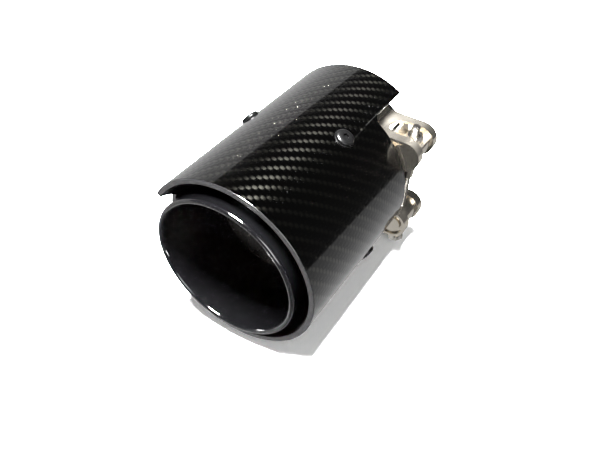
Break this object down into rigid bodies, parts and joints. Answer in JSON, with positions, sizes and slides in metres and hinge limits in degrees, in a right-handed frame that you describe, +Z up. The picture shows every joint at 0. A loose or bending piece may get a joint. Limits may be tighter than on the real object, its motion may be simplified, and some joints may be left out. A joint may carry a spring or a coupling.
{
  "type": "exhaust muffler tip",
  "caption": "Slip-on exhaust muffler tip: carbon shell around a rolled-lip outlet tube, with a slotted inlet sleeve and a band clamp drawn together by one bolt.",
  "frame": {"origin": "centre of the inlet sleeve's mouth", "axes": "+Y along the tube axis, out of the inlet mouth; the outlet faces -Y; +Z up; +X towards the clamp's closure"},
  "size_m": [0.0973, 0.1255, 0.0939],
  "materials": {
    "carbon": "gloss clear coat over a 2x2 twill",
    "gloss_black": "gloss black",
    "sleeve_steel": "brushed",
    "clamp_steel": "polished",
    "fastener_steel": "polished",
    "black_fastener": "satin black",
    "bracket_steel": "satin black",
    "weld": "as welded"
  },
  "bodies": {
    "tip": {"carbon_shell": "carbon", "outlet_tube": "gloss_black", "outlet_liner": "gloss_black", "stop_ring": "sleeve_steel", "inlet_sleeve": "sleeve_steel", "weld_bead": "weld", "bracket_1": "bracket_steel", "bracket_2": "bracket_steel", "bracket_3": "bracket_steel", "bracket_4": "bracket_steel", "weld_nut_1": "fastener_steel", "weld_nut_2": "fastener_steel", "weld_nut_3": "fastener_steel", "weld_nut_4": "fastener_steel", "shell_washer_1": "black_fastener", "shell_washer_2": "black_fastener", "shell_washer_3": "black_fastener", "shell_washer_4": "black_fastener", "shell_screw_1": "black_fastener", "shell_screw_2": "black_fastener", "shell_screw_3": "black_fastener", "shell_screw_4": "black_fastener"},
    "clamp": {"clamp_band": "clamp_steel", "barrel_upper": "clamp_steel", "barrel_lower": "clamp_steel", "clamp_nut": "fastener_steel"},
    "spacer": {"bolt_spacer": "fastener_steel"},
    "bolt": {"clamp_bolt": "fastener_steel"}
  },
  "joints": [
    {"name": "clamp_turn", "type": "hinge", "parent": "tip", "child": "clamp", "pos_m": [0, -0.01645, 0], "axis": [0, 1, 0], "range_deg": [-10, 10]},
    {"name": "bolt_travel", "type": "slide", "parent": "clamp", "child": "spacer", "axis": [-0.0436, 0, -0.999], "range_m": [0, 0.0024]},
    {"name": "bolt_turn", "type": "hinge", "parent": "spacer", "child": "bolt", "pos_m": [0.04126, -0.01645, -0.0018], "axis": [-0.0436, 0, -0.999], "range_deg": [0, 1080]}
  ],
  "couplings": [
    {"joint": "bolt_turn", "follows": "bolt_travel", "rad_per_m": 7854}
  ]
}
